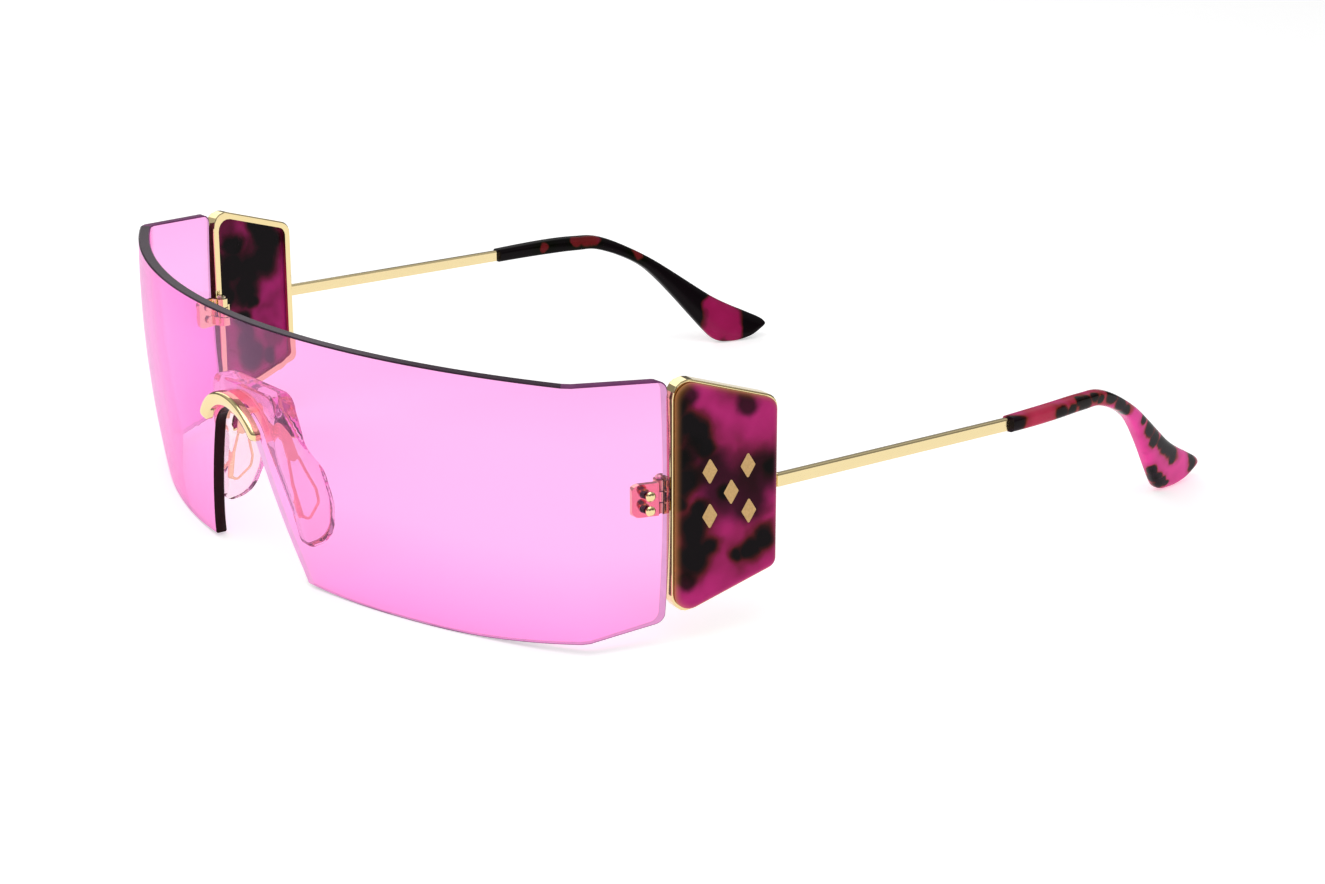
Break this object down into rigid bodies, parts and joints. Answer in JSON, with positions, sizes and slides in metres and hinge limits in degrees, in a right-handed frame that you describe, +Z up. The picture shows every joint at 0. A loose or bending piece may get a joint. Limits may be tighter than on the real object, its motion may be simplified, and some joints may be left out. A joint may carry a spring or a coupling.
{
  "type": "shield sunglasses",
  "caption": "Rimless one-piece pink shield sunglasses with gold-framed tortoise side panels, thin gold temples that fold and flared acetate tips.",
  "frame": {"origin": "middle of the footprint, on the surface that the open glasses stand on", "axes": "+X to the wearer's left, +Y from the lens towards the temple tips, +Z up"},
  "size_m": [0.154, 0.1654, 0.0433],
  "materials": {
    "lens": "pink tinted transparent polycarbonate, polished",
    "gold": "polished pale gold plating",
    "screw_steel": "gold-toned steel screws",
    "clear_silicone": "clear soft silicone, glossy",
    "tortoise": "polished acetate, magenta with near-black blotches"
  },
  "bodies": {
    "front": {"lens_shield": "lens", "bridge_clip": "gold", "nose_insert": "gold", "nose_saddle": "clear_silicone", "bridge_screw_left": "screw_steel", "bridge_screw_right": "screw_steel", "hinge_front_left": "gold", "hinge_screw_left": "screw_steel", "lens_rivet_left_lower": "gold", "lens_rivet_left_upper": "gold", "hinge_front_right": "gold", "hinge_screw_right": "screw_steel", "lens_rivet_right_lower": "gold", "lens_rivet_right_upper": "gold"},
    "temple_left": {"hinge_rear_left": "gold", "panel_rim_left": "gold", "panel_inlay_left": "tortoise", "temple_bar_left": "gold", "temple_tip_left": "tortoise"},
    "temple_right": {"hinge_rear_right": "gold", "panel_rim_right": "gold", "panel_inlay_right": "tortoise", "temple_bar_right": "gold", "temple_tip_right": "tortoise"}
  },
  "joints": [
    {"name": "hinge_left", "type": "hinge", "parent": "front", "child": "temple_left", "pos_m": [0.0691, -0.04549, 0.0237], "axis": [0, 0, 1], "range_deg": [0, 90]},
    {"name": "hinge_right", "type": "hinge", "parent": "front", "child": "temple_right", "pos_m": [-0.0691, -0.04549, 0.0237], "axis": [0, 0, -1], "range_deg": [0, 82]}
  ]
}
